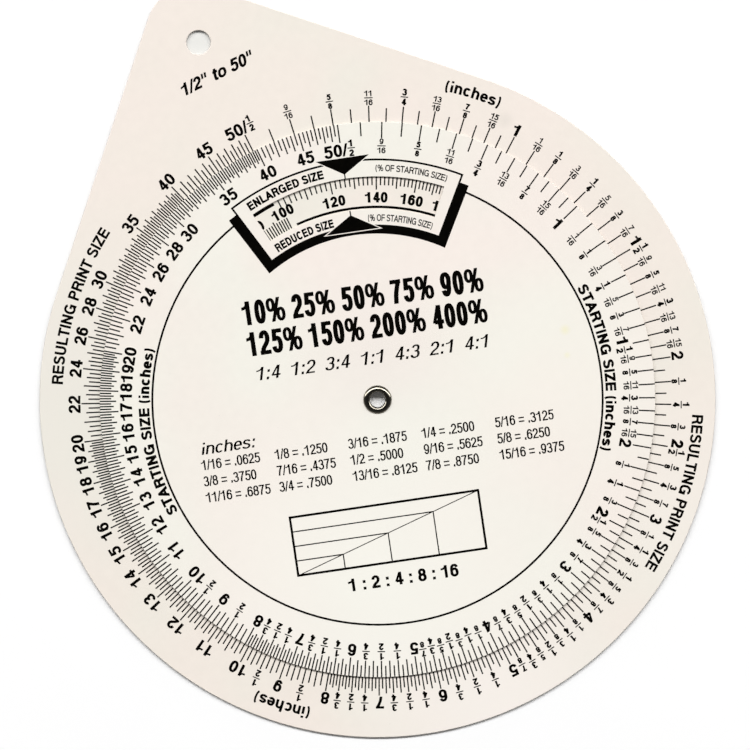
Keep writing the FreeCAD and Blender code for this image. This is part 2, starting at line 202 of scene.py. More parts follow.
GLYPHS = {
    " ": Glyph(0.387, 0, 0, ()),
    "0": Glyph(DIGIT, .055, .728, (ring(.5, .5, .5, .5),), -.01, 1.01),
    "1": Glyph(DIGIT, .03, .55, ([(1, 0), (1, 1)],),
               thin=(bend((0, .75), (.45, .76), (.80, .84), (.86, 1.02)),)),
    "2": Glyph(DIGIT, .05, .725, (arc(.5, .69, .48, .31, 176, 0)
                                  + bend((.98, .69), (.96, .40), (.20, .36), (.05, .03)),
                                  [(0, 0), (1, 0)]), 0, 1.01),
    "3": Glyph(DIGIT, .05, .728, (arc(.48, .755, .43, .245, 168, -88),
                                  arc(.48, .27, .52, .27, 88, -172),
                                  [(.36, .525), (.52, .525)]), -.01, 1.01),
    "4": Glyph(DIGIT, .03, .745, ([(.74, 0), (.74, 1)], [(.02, .25), (1, .25)]),
               thin=([(.62, 1), (.02, .22)],)),
    "5": Glyph(DIGIT, .05, .728, ([(.95, 1), (.20, 1), (.10, .50)],
                                  arc(.47, .325, .53, .325, 138, -168)), -.01, 1.0),
    "6": Glyph(DIGIT, .055, .728, (ring(.5, .32, .5, .32),
                                   arc(.54, .55, .54, .45, 28, 180) + [(0, .32)]), -.01, 1.01),
    "7": Glyph(DIGIT, .05, .72, ([(0, 1), (1, 1)],
                                 bend((.96, .96), (.62, .66), (.36, .34), (.32, 0)))),
    "8": Glyph(DIGIT, .05, .733, (ring(.5, .765, .43, .235), ring(.5, .268, .5, .268)),
               -.01, 1.01),
    "9": Glyph(DIGIT, .055, .728, (ring(.5, .68, .5, .32),
                                   arc(.46, .45, .46, .45, 208, 360) + [(1, .68)]), -.01, 1.01),
    "A": Glyph(1.006, .01, 1.0, ([(.04, 0), (.5, 1), (.96, 0)], [(.2, .27), (.8, .27)])),
    "C": Glyph(1.006, .06, .95, (arc(.5, .5, .5, .5, 36, 324),), -.01, 1.01),
    "D": Glyph(1.006, .095, .95, ([(0, 0), (0, 1), (.38, 1)] + arc(.38, .5, .62, .5, 75, -75)
                                  + [(.38, 0), None],)),
    "E": Glyph(.929, .095, .85, ([(1, 1), (0, 1), (0, 0), (1, 0)], [(0, .53), (1, .53)])),
    "F": Glyph(.850, .095, .79, ([(1, 1), (0, 1), (0, 0)], [(0, .50), (1, .50)])),
    "G": Glyph(1.083, .06, 1.0, (arc(.5, .5, .5, .5, 38, 322),
                                 [(.56, .46), (1, .46), (1, .08)]), -.01, 1.01),
    "I": Glyph(.387, .094, .293, ([(.5, 0), (.5, 1)],)),
    "L": Glyph(.850, .095, .81, ([(0, 1), (0, 0), (1, 0)],)),
    "N": Glyph(1.006, .095, .91, ([(0, 0), (0, 1)], [(0, 1), (1, 0)], [(1, 0), (1, 1)])),
    "O": Glyph(1.083, .05, 1.03, (ring(.5, .5, .5, .5),), -.01, 1.01),
    "P": Glyph(.929, .095, .88, ([(0, 0), (0, 1), (.55, 1)] + arc(.55, .74, .45, .26, 75, -75)
                                 + [(.55, .48), (0, .48)],)),
    "R": Glyph(1.006, .095, .96, ([(0, 0), (0, 1), (.55, 1)]
                                  + arc(.55, .755, .42, .245, 75, -75) + [(.55, .51), (0, .51)],
                                  bend((.50, .51), (.98, .50), (.82, .22), (.98, 0)))),
    "S": Glyph(.929, .05, .88, (S_CURVE,), -.01, 1.01),
    "T": Glyph(.850, .02, .83, ([(0, 1), (1, 1)], [(.5, 1), (.5, 0)])),
    "U": Glyph(1.006, .095, .91, ([(0, 1), (0, .36)] + arc(.5, .36, .5, .36, 180, 360)
                                  + [(1, 1)],), -.01, 1.0),
    "Z": Glyph(.850, .04, .81, ([(0, 1), (1, 1)], [(1, 1), (0, 0)], [(0, 0), (1, 0)])),
    "c": Glyph(.774, .05, .73, (arc(.5, .5, .5, .5, 40, 320),), -.01, X_HEIGHT + .01),
    "e": Glyph(.774, .05, .73, ([(.02, .5)] + arc(.5, .5, .5, .5, 2, 322),),
               -.01, X_HEIGHT + .01),
    "h": Glyph(.850, .09, .77, ([(0, 0), (0, 1)], arc(.5, .40, .5, .30, 165, 0) + [(1, 0)])),
    "i": Glyph(.387, .094, .293, ([(.5, 0), (.5, .68)], [(.5, .90), (.5, 1)])),
    "n": Glyph(.850, .09, .77, ([(0, 0), (0, 1)], arc(.5, .57, .5, .43, 165, 0) + [(1, 0)]),
               0, X_HEIGHT),
    "o": Glyph(.850, .05, .80, (ring(.5, .5, .5, .5),), -.01, X_HEIGHT + .01),
    "s": Glyph(.774, .04, .73, (S_CURVE,), -.01, X_HEIGHT + .01),
    "t": Glyph(.464, .03, .45, ([(.40, 1), (.40, .22)]
                                + bend((.40, .22), (.42, .02), (.55, 0), (1, 0)),
                                [(0, .80), (1, .80)]), 0, .92),
    "%": Glyph(1.238, .04, 1.20, (), thin=(ring(.19, .74, .19, .26), ring(.81, .26, .19, .26),
                                           [(.70, 1), (.30, 0)])),
    "/": Glyph(.387, -.03, .42, (), -.02, 1.02, thin=([(.05, 0), (.95, 1)],)),
    '"': Glyph(.700, .07, .50, (), .63, 1.01, thin=([(0, 0), (0, 1)], [(1, 0), (1, 1)])),
    "(": Glyph(.464, .08, .44, (), -.20, 1.04, thin=(arc(1, .5, 1, .5, 105, 255),)),
    ")": Glyph(.464, .02, .38, (), -.20, 1.04, thin=(arc(0, .5, 1, .5, -75, 75),)),
    ".": Glyph(.387, .09, .30, ([(.5, 0), (.5, 1)],), 0, .21),
    ":": Glyph(.464, .13, .34, ([(.5, 0), (.5, .22)], [(.5, .78), (.5, 1)]), 0, X_HEIGHT),
    "=": Glyph(.813, .06, .75, ([(0, 0), (1, 0)], [(0, 1), (1, 1)]), .20, .68),
}


def sweep(path, half):
    """Band of constant half width along a path: a quad for each span, a wedge at each bend."""
    closed = path[-1] is None
    points = [Vector(p) for p in (path[:-1] if closed else path)]
    points = [p for i, p in enumerate(points)
              if i == 0 or (p - points[i - 1]).length > SAME_POINT]
    ahead = points[1:] + points[:1] if closed else points[1:]
    sides, faces = [], []
    for a, b in zip(points, ahead):
        along = (b - a).normalized()
        side = Vector((-along.y, along.x)) * half
        sides.append(side)
        faces.append([a - side, b - side, b + side, a + side])
    for i, corner in enumerate(ahead if closed else ahead[:-1]):
        before, after = sides[i], sides[(i + 1) % len(sides)]
        if abs(before.cross(after)) < STRAIGHT:
            continue
        outer = -1 if before.cross(after) > 0 else 1
        wedge = [corner, corner + outer * before, corner + outer * after]
        mitre = (before + after) / (1 + before.dot(after) / half ** 2)
        if mitre.length < MITRE_LIMIT * half:
            wedge.insert(2, corner + outer * mitre)
        faces.append(wedge)
    return faces


def clipped(face, axis, limit, side):
    """The part of a convex face below a limit on an axis, or above it where side is -1."""
    kept = []
    for a, b in zip(face, face[1:] + face[:1]):
        if side * (limit - a[axis]) >= 0:
            kept.append(a)
        if (limit - a[axis]) * (limit - b[axis]) < 0:
            kept.append(a.lerp(b, (limit - a[axis]) / (b[axis] - a[axis])))
    return kept


def united(faces):
    """Points, triangles and rim edges of the union of some flat faces."""
    points, indices = [], []
    for face in faces:
        area = sum(p.cross(q) for p, q in zip(face, face[1:] + face[:1]))
        indices.append(list(range(len(points), len(points) + len(face))))
        points += face if area > 0 else face[::-1]
    corners, _, found, _, _, sources = delaunay_2d_cdt(points, [], indices, INSIDE_ONLY, MEETING)
    places, kept, number = {}, [], []
    for point in corners:
        place = (round(point.x, MERGE_DIGITS), round(point.y, MERGE_DIGITS))
        if place not in places:
            places[place] = len(kept)
            kept.append(point)
        number.append(places[place])
    triangles = [[number[i] for i in t] for t, source in zip(found, sources) if source]
    triangles = [t for t in triangles if len(set(t)) == 3]
    edges = {(t[i], t[(i + 1) % 3]) for t in triangles for i in range(3)}
    rim = [e for e in edges if (e[1], e[0]) not in edges]
    return kept, triangles, sorted(rim)


@lru_cache(maxsize=None)
def glyph_shape(char, stem, bar, spread):
    """A character's outline at a weight, one capital height tall, as united() gives it.

    A stroke is swept with its heights stretched by squeeze and is then pressed back, so that
    its upright parts come out as wide as the stem and its level ones as tall as the bar."""
    glyph = GLYPHS[char]
    faces = []
    for strokes, share in ((glyph.strokes, 1.0), (glyph.thin, THIN_STROKE)):
        wide, tall = stem * share, bar * share
        inked = wide + 2 * spread
        squeeze = inked / (tall + 2 * spread)
        span_x = glyph.right - glyph.left - wide
        span_y = glyph.top - glyph.bottom - tall
        for stroke in strokes:
            path = [p and Vector((glyph.left + wide / 2 + p[0] * span_x,
                                  (glyph.bottom + tall / 2 + p[1] * span_y) * squeeze))
                    for p in stroke]
            if path[-1] is not None:    # ends at the box run past it, and are cut square below
                for end, inner in ((0, 1), (-1, -2)):
                    if stroke[end][0] in (0, 1) or stroke[end][1] in (0, 1):
                        path[end] += (path[end] - path[inner]).normalized() * inked
            faces += [[Vector((p.x, p.y / squeeze)) for p in face]
                      for face in sweep(path, inked / 2)]
    for axis, low, high in ((0, glyph.left, glyph.right), (1, glyph.bottom, glyph.top)):
        faces = [clipped(face, axis, low - spread, -1) for face in faces]
        faces = [clipped(face, axis, high + spread, 1) for face in faces]
    return united([face for face in faces if len(face) > 2])


class Style(NamedTuple):
    """How a line of lettering is set: capital height in mm, weight, width, lean, spacing."""
    height: float
    weight: tuple = BOLD
    wide: float = 1.0
    lean: float = 0.0
    track: float = 0.0


class Ink:
    """Collects flat shapes printed on a body and makes one closed mesh of them, a film thick.
    What is printed on the dial is turned with it to its rest position."""

    def __init__(self, body):
        self.body = body
        self.bottom, turn = {"card": (CARD_TOP, 0.0), "dial": (DIAL_TOP, REST_TURN)}[body]
        self.turn = Matrix.Rotation(math.radians(-turn), 2)
        self.points, self.faces = [], []

    def shape(self, outline, place):
        """Adds a shape from united(), moved by a function of its points."""
        flat, triangles, rim = outline
        low = len(self.points)
        high = low + len(flat)
        moved = [self.turn @ place(p) for p in flat]
        for z in (self.bottom, self.bottom + INK_THICK):
            self.points += [(p.x * MM, p.y * MM, z * MM) for p in moved]
        self.faces += [[low + i for i in reversed(t)] for t in triangles]
        self.faces += [[high + i for i in t] for t in triangles]
        self.faces += [[low + a, low + b, high + b, high + a] for a, b in rim]

    def polygons(self, faces, place=lambda p: p):
        self.shape(united([[Vector(p) for p in points] for points in faces]), place)

    def piece(self, name):
        mesh = bpy.data.meshes.new(name)
        mesh.from_pydata(self.points, [], self.faces)
        mesh.validate()
        mesh.materials.append(black_ink())
        made = bpy.data.objects.new(name, mesh)
        bpy.context.scene.collection.objects.link(made)
        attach(made, self.body)


def on_arc(radius, angle):
    """Placer of a shape whose foot stands on a circle at a clockwise angle, top outward."""
    turn = Matrix.Rotation(math.radians(-angle), 2)
    lift = Vector((0, radius))
    return lambda p: turn @ (p + lift)


def on_line(x, y):
    """Placer of a shape whose foot stands at a point, upright."""
    return lambda p: p + Vector((x, y))


class Letters(NamedTuple):
    """Characters in one style. They can stand in a row with stacked fractions."""
    text: str
    style: Style

    def pieces(self):
        s = self.style
        for char in self.text:
            width = (GLYPHS[char].advance * s.wide + s.track) * s.height
            yield width, [(char, s, -width / 2 + s.track * s.height / 2, 0.0)]


class Fraction(NamedTuple):
    """Stacked fraction: its bar's height above the row's foot, and the gap to its digits."""
    over: str
    under: str
    style: Style
    bar_height: float
    bar_length: float
    gap: float
    bar_thick: float

    def pieces(self):
        s = self.style

        def row(text, foot):
            step = DIGIT * s.height * s.wide
            start = -step * len(text) / 2
            return [(char, s, start + i * step, foot) for i, char in enumerate(text)]

        gap = self.gap + self.bar_thick / 2
        over = row(self.over, self.bar_height + gap)
        under = row(self.under, self.bar_height - gap - s.height)
        yield self.bar_length * FRACTION_ROOM, over + under + [(None, self, 0.0, self.bar_height)]


def draw_group(ink, group, place):
    """Draws characters, or a fraction's bar, at their offsets within a placer."""
    for char, style, x, y in group:
        if char is None:
            half, thick = style.bar_length / 2, style.bar_thick / 2
            ink.polygons([[(-half, y - thick), (half, y - thick), (half, y + thick),
                           (-half, y + thick)]], place)
            continue
        h, w, lean = style.height, style.wide, style.lean
        ink.shape(glyph_shape(char, *style.weight, INK_SPREAD / h),
                  lambda p: place(Vector((x + (p.x * w + p.y * lean) * h, y + p.y * h))))


def write_arc(ink, parts, radius, centre):
    """Sets parts in a row along a circle, centred on a clockwise angle."""
    groups = [g for part in parts for g in part.pieces()]
    x = -sum(width for width, _ in groups) / 2
    for width, group in groups:
        draw_group(ink, group, on_arc(radius, centre + math.degrees((x + width / 2) / radius)))
        x += width


def write_line(ink, parts, x, y, anchor):
    """Sets parts in a straight row. anchor is the share of the row left of x."""
    groups = [g for part in parts for g in part.pieces()]
    x -= sum(width for width, _ in groups) * anchor
    for width, group in groups:
        draw_group(ink, group, on_line(x + width / 2, y))
        x += width


class ArcWords(NamedTuple):
    """Words along a circle: the radius of their foot in mm, and the clockwise angle at the
    middle of each place where they stand."""
    text: str
    style: Style
    foot: float
    angles: tuple

    def draw(self, ink):
        for angle in self.angles:
            write_arc(ink, [Letters(self.text, self.style)], self.foot, angle)


class RowWords(NamedTuple):
    """Words in a straight row: their foot's place in mm, and the share of them left of x."""
    text: str
    style: Style
    x: float
    y: float
    anchor: float = 0.5

    def draw(self, ink):
        write_line(ink, [Letters(self.text, self.style)], self.x, self.y, self.anchor)


def words_piece(name, body, words):
    """Makes one piece of some words."""
    ink = Ink(body)
    for line in words:
        line.draw(ink)
    ink.piece(name)


# ---- materials

def srgb(red, green, blue):
    """Linear colour of an sRGB one given in 0 to 255."""
    def linear(value):
        value /= 255
        return value / 12.92 if value <= 0.04045 else ((value + 0.055) / 1.055) ** 2.4
    return (linear(red), linear(green), linear(blue), 1.0)


class Stain(NamedTuple):
    """Soft round spot: its middle and radius in mm, its colour, and its strength there."""
    x: float
    y: float
    radius: float
    colour: tuple
    share: float


class Looks:
    """A node material under construction, in the object's own coordinates."""

    def __init__(self, name, **sockets):
        self.material = bpy.data.materials.new(name)
        self.material.use_nodes = True
        self.tree = self.material.node_tree
        self.shader = self.tree.nodes["Principled BSDF"]
        for socket, value in sockets.items():
            self.shader.inputs[socket.replace("_", " ")].default_value = value
        self.place = self.tree.nodes.new("ShaderNodeTexCoord").outputs["Object"]

    def add(self, kind, output=0, inputs=(), **settings):
        """Adds a node. An input is a value or another node's output."""
        node = self.tree.nodes.new(kind)
        for key, value in settings.items():
            setattr(node, key, value)
        for key, value in dict(inputs).items():
            if isinstance(value, bpy.types.NodeSocket):
                self.tree.links.new(value, node.inputs[key])
            else:
                node.inputs[key].default_value = value
        return node.outputs[output]

    def noise(self, size, detail=2.0, shift=0.0):
        """Noise from 0 to 1 with patches about this many mm across."""
        moved = self.add("ShaderNodeMapping", inputs={"Vector": self.place,
                                                      "Location": (shift, shift, shift)})
        return self.add("ShaderNodeTexNoise", inputs={
            "Vector": moved, "Scale": 1 / (size * MM), "Detail": detail})

    def ramp(self, factor, *stops):
        """Colours, or grey levels, at places along a factor."""
        node = self.tree.nodes.new("ShaderNodeValToRGB")
        self.tree.links.new(factor, node.inputs["Fac"])
        elements = node.color_ramp.elements
        while len(elements) < len(stops):
            elements.new(0.5)
        for element, (position, colour) in zip(elements, stops):
            element.position = position
            element.color = colour if isinstance(colour, tuple) else (colour,) * 3 + (1.0,)
        return node.outputs["Color"]

    def mix(self, below, above, share=1.0, blend="MULTIPLY"):
        """Lays one colour over another. The numbers are the Mix node's colour sockets."""
        return self.add("ShaderNodeMix", 2, {0: share, 6: below, 7: above},
                        data_type="RGBA", blend_type=blend)

    def stain(self, below, stain):
        """Lays a soft spot over a colour: a real stain, or painted shade where the floor uses it.
        """
        reach = self.add("ShaderNodeVectorMath", "Value", {
            0: self.place, 1: (stain.x * MM, stain.y * MM, DIAL_TOP * MM)}, operation="DISTANCE")
        fade = self.add("ShaderNodeMapRange", inputs={
            "Value": reach, "From Min": stain.radius * MM, "From Max": 0.0,
            "To Max": stain.share}, interpolation_type="SMOOTHSTEP")
        return self.mix(below, stain.colour, fade, "MIX")

    def bump(self, height, strength, distance):
        """Relief from a height map. distance is the full height in mm."""
        return self.add("ShaderNodeBump", inputs={
            "Height": height, "Strength": strength, "Distance": distance * MM})

    def finish(self, **sockets):
        for socket, value in sockets.items():
            self.tree.links.new(value, self.shader.inputs[socket.replace("_", " ")])
        return self.material


def sheet_plastic(name, tints, shift, stains):
    """Matt white vinyl sheet, aged unevenly: warm and greenish drifts, a fine grain, dull
    patches where it was handled and a few faint specks. Its steep cut edges are painted
    darker, as painted shade that deepens their shadow line and damps their highlight."""
    look = Looks(name, Specular_IOR_Level=0.25)
    drift = look.noise(size=38, detail=1.5, shift=shift)
    colour = look.ramp(drift, (0.36, tints[0]), (0.50, tints[1]), (0.64, tints[2]))
    mottle = look.noise(size=2.6, detail=3.0, shift=shift + 1)
    colour = look.mix(colour, look.ramp(mottle, (0.30, 0.978), (0.70, 1.0)))
    for stain in stains:
        colour = look.stain(colour, stain)
    spacing = 7 * MM
    specks = look.add("ShaderNodeTexVoronoi", inputs={
        "Vector": look.place, "Scale": 1 / spacing, "Randomness": 1.0})
    colour = look.mix(colour, look.ramp(specks, (0.012, 0.80), (0.022, 1.0)), share=0.6)
    # painted shade: steep faces, the cut edges, are darkened by how they face
    facing = look.add("ShaderNodeTexCoord", "Normal")
    upright = look.add("ShaderNodeSeparateXYZ", "Z", {0: facing})
    level = look.add("ShaderNodeMath", inputs={0: upright}, operation="ABSOLUTE")
    colour = look.mix(colour, look.ramp(level, (0.35, 0.50), (0.90, 1.0)))
    rubbed = look.noise(size=16, detail=4.0, shift=shift + 2)
    gloss = look.ramp(rubbed, (0.35, 0.62), (0.65, 0.46))
    grain = look.noise(size=0.22, shift=shift)
    relief = look.bump(grain, strength=0.25, distance=0.010)
    return look.finish(Base_Color=colour, Roughness=gloss, Normal=relief)


def card_sheet():
    """The card's plastic: greyer on the left, paler at the foot, with one smudge."""
    tints = (srgb(247, 236, 227), srgb(245, 236, 226), srgb(242, 237, 226))
    return sheet_plastic("card_sheet", tints, 3.1, [
        Stain(-71.5, 35.8, 60, srgb(237, 234, 224), 0.85),
        Stain(-9.0, -85.0, 52, srgb(250, 243, 236), 0.9),
        Stain(53.6, -60.4, 45, srgb(246, 241, 232), 0.6),
        Stain(62.9, 50.7, 3.2, srgb(214, 208, 198), 0.35)])


def dial_sheet():
    """The dial's plastic: paler below, greyer over the middle, with two yellow spots."""
    tints = (srgb(249, 239, 231), srgb(247, 240, 231), srgb(246, 243, 233))
    yellow = srgb(245, 240, 205)
    return sheet_plastic("dial_sheet", tints, 7.4, [
        Stain(-20.0, -42.0, 75, srgb(249, 247, 238), 0.85),
        Stain(47.0, -14.0, 45, srgb(248, 245, 235), 0.6),
        Stain(6.7, 13.4, 26, srgb(240, 234, 227), 0.5),
        Stain(52.3, -5.7, 1.9, yellow, 0.7),
        Stain(49.8, -11.9, 1.2, yellow, 0.5)])


@lru_cache(maxsize=None)
def black_ink():
    """Screen-printed ink: near black, a little uneven, duller than the sheet's gloss."""
    look = Looks("black_ink", Specular_IOR_Level=0.02)
    cover = look.noise(size=0.9, detail=3.0)
    colour = look.ramp(cover, (0.35, (0.0008, 0.0006, 0.0003, 1)),
                       (0.70, (0.0022, 0.0018, 0.0010, 1)))
    gloss = look.ramp(look.noise(size=3.0, shift=1.3), (0.3, 0.62), (0.7, 0.48))
    relief = look.bump(look.noise(size=0.10, detail=1.0), strength=0.2, distance=0.004)
    return look.finish(Base_Color=colour, Roughness=gloss, Normal=relief)


def eyelet_nickel():
    """Bright nickel plate with the fine rings of the setting tool and a few dull marks; its
    colour is painted darker than nickel's, as painted shade for the dark surroundings it
    reflects.
    """
    look = Looks("eyelet_nickel", Metallic=1.0)
    marks = look.noise(size=0.8, detail=4.0)
    # painted shade: the plate's colour is kept dark so that its reflections come out dark
    colour = look.ramp(marks, (0.30, (0.17, 0.155, 0.125, 1)), (0.62, (0.23, 0.215, 0.18, 1)))
    gloss = look.ramp(marks, (0.35, 0.16), (0.65, 0.09))
    tooling = look.add("ShaderNodeTexWave", "Fac", {
        "Vector": look.place, "Scale": 1800.0, "Distortion": 1.5, "Detail": 1.0},
        wave_type="RINGS", rings_direction="Z")
    relief = look.bump(tooling, strength=0.03, distance=0.003)
    return look.finish(Base_Color=colour, Roughness=gloss, Normal=relief)


def washer_nickel():
    """Stamped washer: paler plate, left satin, with drag lines across it."""
    look = Looks("washer_nickel", Metallic=1.0)
    stretched = look.add("ShaderNodeMapping", inputs={
        "Vector": look.place, "Scale": (1.0, 14.0, 1.0)})
    spacing = 1.6 * MM
    drag = look.add("ShaderNodeTexNoise", inputs={
        "Vector": stretched, "Scale": 1 / spacing, "Detail": 3.0})
    colour = look.ramp(drag, (0.30, (0.42, 0.40, 0.36, 1)), (0.70, (0.56, 0.54, 0.49, 1)))
    gloss = look.ramp(drag, (0.30, 0.42), (0.70, 0.30))
    relief = look.bump(drag, strength=0.2, distance=0.006)
    return look.finish(Base_Color=colour, Roughness=gloss, Normal=relief)


# ---- sheets

def polar(radius, angle, centre=(0.0, 0.0)):
    """Point at a radius and a clockwise angle from up."""
    turn = math.radians(angle)
    return Vector((centre[0] + radius * math.sin(turn), centre[1] + radius * math.cos(turn)))


def circle(radius, start=0.0, end=360.0, centre=(0.0, 0.0), step=ROUND_STEP):
    """Points along a circle between two clockwise angles. A full turn ends before its start."""
    count = max(2, math.ceil(abs(end - start) / step))
    points = [polar(radius, start + (end - start) * i / count, centre)
              for i in range(count + 1)]
    return points[:-1] if abs(end - start) >= 360 else points


def inset(loop, depth):
    """A clockwise loop moved inward, or outward with a negative depth, by mitred corners."""
    moved = []
    for i, point in enumerate(loop):
        before = (point - loop[i - 1]).normalized()
        after = (loop[(i + 1) % len(loop)] - point).normalized()
        sides = [Vector((d.y, -d.x)) for d in (before, after)]
        mitre = (sides[0] + sides[1]) / (1 + sides[0].dot(sides[1]))
        moved.append(point + mitre * depth)
    return moved


def die_cut(name, rim, holes, bottom, top, softness, turn=0.0):
    """Flat sheet with cut edges rounded by softness. rim and holes are clockwise loops."""
    spin = Matrix.Rotation(math.radians(-turn), 2)
    points, faces, cut = [], [], []
    ends = {"low": [], "high": []}
    profile = [(softness * (1 - math.sin(a)), softness * (1 - math.cos(a)))
               for a in (math.radians(90 * i / EDGE_STEPS) for i in range(EDGE_STEPS + 1))]
    levels = [(d, bottom + h) for d, h in profile] + [(d, top - h) for d, h in profile[::-1]]
    for index, loop in enumerate([rim] + holes):
        inward = 1 if index == 0 else -1
        starts = []
        for depth, height in levels:
            starts.append(len(points))
            points += [(*(spin @ p), height) for p in inset(loop, inward * depth)]
        count = len(loop)
        for low, high in zip(starts, starts[1:]):
            for i in range(count):
                j = (i + 1) % count
                wall = [low + j, low + i, high + i, high + j]
                cut.append(wall if inward > 0 else wall[::-1])
        ends["low"].append(range(starts[0], starts[0] + count))
        ends["high"].append(range(starts[-1], starts[-1] + count))
    for end, loops in ends.items():
        flat = [[Vector(points[i][:2]).to_3d() for i in loop] for loop in loops]
        order = [i for loop in loops for i in loop]
        for triangle in tessellate_polygon(flat):
            a, b, c = (order[i] for i in triangle)
            u, v = (Vector(points[k][:2]) - Vector(points[a][:2]) for k in (b, c))
            up = u.cross(v) > 0
            faces.append([a, b, c] if up == (end == "high") else [a, c, b])
    mesh = bpy.data.meshes.new(name)
    mesh.from_pydata([(x * MM, y * MM, z * MM) for x, y, z in points], [], cut + faces)
    mesh.validate()
    for polygon in mesh.polygons[:len(cut)]:
        polygon.use_smooth = True
    made = bpy.data.objects.new(name, mesh)
    bpy.context.scene.collection.objects.link(made)
    return made


def card_sheet_piece():
    """Round card with its square-cornered hanging tab, hanging hole and pivot hole."""
    tangent = 90.0 - TAB_HALF_ANGLE
    corner = (0.0, TAB_TIP - TAB_CORNER_RADIUS)
    rim = circle(CARD_RADIUS, tangent, 360 - tangent)
    rim += circle(TAB_CORNER_RADIUS, -tangent, tangent, corner, CORNER_STEP)
    holes = [circle(HANG_HOLE_RADIUS, centre=(0.0, HANG_HOLE_Y), step=HOLE_STEP),
             circle(PIVOT_HOLE_RADIUS, step=HOLE_STEP)]
    sheet = die_cut("card", rim, holes, CARD_BOTTOM, CARD_TOP, CARD_EDGE_ROUND)
    sheet.data.materials.append(card_sheet())
    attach(sheet, "card")
    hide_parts("back_card")


def dial_sheet_piece():
    """Round dial with its pivot hole and window."""
    window = circle(WINDOW_OUTER, -WINDOW_HALF_ANGLE, WINDOW_HALF_ANGLE)
    window += circle(WINDOW_INNER, WINDOW_HALF_ANGLE, -WINDOW_HALF_ANGLE)
    holes = [circle(PIVOT_HOLE_RADIUS, step=HOLE_STEP), window]
    sheet = die_cut("dial", circle(DIAL_RADIUS), holes, DIAL_BOTTOM, DIAL_TOP,
                    DIAL_EDGE_ROUND, REST_TURN)
    sheet.data.materials.append(dial_sheet())
    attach(sheet, "dial")
    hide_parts("front_dial")


# ---- eyelet

# The flange's section as control points of cubic curves that join end to end: how far a
# point lies outside the flange's crest, or inside its rim, and how deep below its top
FLANK = ((0.02, 0.575), (0.05, 0.544), (0.08, 0.50), (0.11, 0.462), (0.15, 0.424),
         (0.22, 0.364), (0.29, 0.31), (0.37, 0.258), (0.45, 0.206))
CROWN = ((0.54, 0.1625), (0.46, 0.125), (0.38, 0.088), (0.28, 0.051), (0.20, 0.028),
         (0.13, 0.008), (0.06, 0.0), (0.0, 0.0), (-0.03, 0.0), (-0.055, 0.004),
         (-0.08, 0.011), (-0.13, 0.026), (-0.175, 0.043), (-0.22, 0.063), (-0.28, 0.090),
         (-0.33, 0.119), (-0.38, 0.151), (-0.42, 0.177), (-0.455, 0.203), (-0.49, 0.232),
         (-0.56, 0.29))


def turned(name, profile, body, node, material):
    """Closed ring turned about the pivot from a closed profile of (radius, height) in mm."""
    count = len(profile)
    points, faces = [], []
    for step in range(TURNED_STEPS):
        angle = 2 * math.pi * step / TURNED_STEPS
        points += [(r * math.cos(angle) * MM, r * math.sin(angle) * MM, z * MM)
                   for r, z in profile]
        here, there = step * count, (step + 1) % TURNED_STEPS * count
        faces += [[here + i, there + i, there + (i + 1) % count, here + (i + 1) % count]
                  for i in range(count)]
    mesh = bpy.data.meshes.new(name)
    mesh.from_pydata(points, [], faces)
    mesh.validate()
    mesh.materials.append(material)
    mesh.polygons.foreach_set("use_smooth", [True] * len(faces))
    mesh.set_sharp_from_angle(angle=math.radians(SHARP_ANGLE))
    made = bpy.data.objects.new(name, mesh)
    bpy.context.scene.collection.objects.link(made)
    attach(made, body)
    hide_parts(node)


def eyelet_piece():
    """Flange with a crest, thin straight barrel, and rear end rolled outward against the
    washer. The section runs anticlockwise from the barrel's rear."""
    low, high = (corner.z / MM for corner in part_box("center_eyelet"))
    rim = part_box("center_eyelet")[1].x / MM
    front = DIAL_TOP + EYELET_PLAY
    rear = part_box("eyelet_washer")[0].z / MM
    bore, barrel = EYELET_BORE_RADIUS, EYELET_BORE_RADIUS + EYELET_WALL
    crest = bore + CREST_SET
    rolled = barrel + SET_WIDTH
    heel = (bore + rolled) / 2
    flange = [(barrel + 0.35, front), (rim - 0.05, front), (rim, front + 0.01),
              (rim, front + 0.05), (rim, front + 0.08)]
    flange += [(rim - inside, high - depth) for inside, depth in FLANK]
    flange += [(crest + outside, high - depth) for outside, depth in CROWN]
    flange += [(bore, high - 0.43), (bore, high - 0.60)]
    profile = [(barrel, rear), (barrel, front), flange[0]]
    for start in range(0, len(flange) - 1, 3):
        profile += bend(*flange[start:start + 4], 4)[1:]
    profile += bend((bore, low + 0.42), (bore, low + 0.12), (bore + 0.12, low), (heel, low), 8)
    profile += bend((heel, low), (rolled - 0.12, low), (rolled, low + 0.06),
                    (rolled, low + 0.22))[1:]
    profile += [(rolled - 0.03, rear)]
    turned("eyelet", profile, "card", "center_eyelet", eyelet_nickel())


def washer_piece():
    """Stamped washer with broken edges."""
    low, high = (corner.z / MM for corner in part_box("eyelet_washer"))
    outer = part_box("eyelet_washer")[1].x / MM
    inner, broken = PIVOT_HOLE_RADIUS, WASHER_BREAK
    profile = [(inner, low + broken), (inner + broken, low), (outer - broken, low),
               (outer, low + broken), (outer, high - broken), (outer - broken, high),
               (inner + broken, high), (inner, high - broken)]
    turned("washer", profile, "card", "eyelet_washer", washer_nickel())


# ---- lettering

def scale_angle(inches):
    return DEGREES_PER_DECADE * math.log10(inches / SCALE_START)


def percent_angle(percent):
    return DEGREES_PER_DECADE * math.log10(percent / 100.0)


class Scale(NamedTuple):
    """Where an inch scale's lettering stands: radii in mm of the whole numbers' feet and
    of the bars of small and large fractions."""
    foot: float
    small_bar: float
    large_bar: float


OUTER = Scale(foot=78.20, small_bar=79.39, large_bar=79.88)
INNER = Scale(foot=64.62, small_bar=66.70, large_bar=66.28)

WHOLE = Style(3.03, BOLD)
LEAD = Style(3.03, HEAVY)
LAST = Style(3.15, BOLD)

